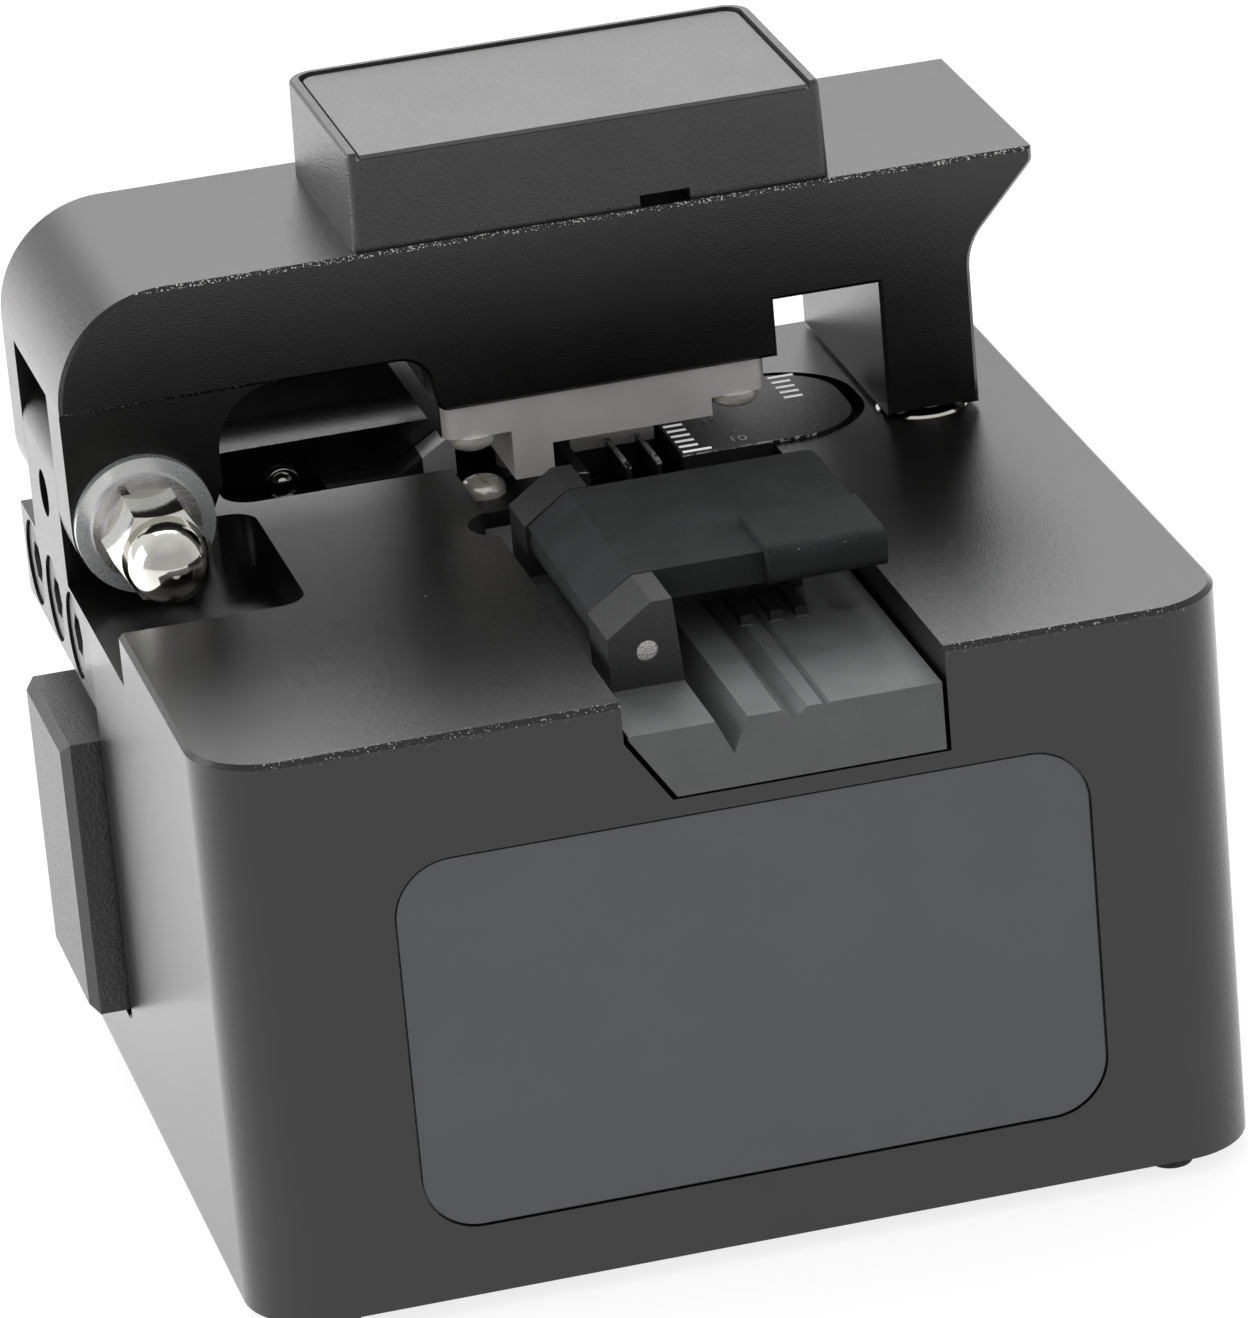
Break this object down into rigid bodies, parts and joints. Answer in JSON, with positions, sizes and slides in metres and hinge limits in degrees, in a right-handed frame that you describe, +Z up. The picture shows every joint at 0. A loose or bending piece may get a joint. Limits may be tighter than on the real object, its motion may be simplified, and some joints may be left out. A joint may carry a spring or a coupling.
{
  "type": "fibre cleaver",
  "caption": "Desk-top optical fibre cleaver with a hinged clamping lever, sliding blade carriage and grooved fibre holder.",
  "frame": {"origin": "middle of the footprint, push pads included, on the ground under the feet", "axes": "+Z up, +X to the right of a user in front of it, where the lever's nose and the long push pad are, -Y towards the user"},
  "size_m": [0.0734, 0.06, 0.0613],
  "materials": {
    "black_anodised": "satin",
    "grey_aluminium": "satin",
    "panel_grey": "satin",
    "black_plastic": "matte",
    "rubber": "matte",
    "steel": "satin",
    "dark_steel": "satin",
    "bright_chrome": "polished"
  },
  "bodies": {
    "base": {"main_housing": "black_anodised", "bottom_cover": "black_anodised", "hinge_bracket": "black_anodised", "anvil_plate": "black_anodised", "rear_anvil": "black_anodised", "front_panel": "panel_grey", "rubber_feet": "rubber", "lower_clamp_pads": "rubber", "bottom_cover_screws": "steel", "bracket_screws": "dark_steel", "hinge_grub_screw": "dark_steel", "hinge_pin": "steel", "hinge_washer": "steel", "small_washer": "steel", "spring_washer": "steel", "jam_nut": "bright_chrome", "cap_nut": "bright_chrome", "keeper_disc": "bright_chrome", "anvil_screw": "bright_chrome", "rear_anvil_screws": "bright_chrome", "ramp_strip": "steel", "pocket_stud": "bright_chrome", "carriage_rail": "steel", "rail_screws": "dark_steel"},
    "lever": {"lever_arm": "black_anodised", "lever_cover": "black_plastic", "cover_plate": "panel_grey", "lever_magnet": "bright_chrome", "upper_clamp_plate": "grey_aluminium", "upper_clamp_pads": "rubber", "clamp_plate_screws": "bright_chrome"},
    "carriage": {"carriage_block": "black_anodised", "left_push_pad": "black_plastic", "right_push_pad": "black_plastic", "blade_axle": "steel"},
    "blade": {"blade_wheel": "bright_chrome"},
    "holder": {"fibre_holder": "black_plastic", "holder_magnet": "bright_chrome", "flap_pin": "steel"},
    "flap": {"clamp_flap": "black_plastic", "flap_pad": "rubber", "flap_button": "steel"}
  },
  "joints": [
    {"name": "lever_hinge", "type": "hinge", "parent": "base", "child": "lever", "pos_m": [-0.0297, 0.01875, 0.0396], "axis": [0, -1, 0], "range_deg": [0, 95]},
    {"name": "carriage_slide", "type": "slide", "parent": "base", "child": "carriage", "axis": [1, 0, 0], "range_m": [-0.007, 0.0024]},
    {"name": "blade_turn", "type": "hinge", "parent": "carriage", "child": "blade", "pos_m": [0.0027, 0.018, 0.02765], "axis": [0, 1, 0], "continuous": true},
    {"name": "holder_slide", "type": "slide", "parent": "base", "child": "holder", "axis": [0, -1, 0], "range_m": [0, 0.008]},
    {"name": "flap_hinge", "type": "hinge", "parent": "holder", "child": "flap", "pos_m": [-0.00515, -0.01025, 0.03805], "axis": [0, -1, 0], "range_deg": [0, 100]}
  ]
}
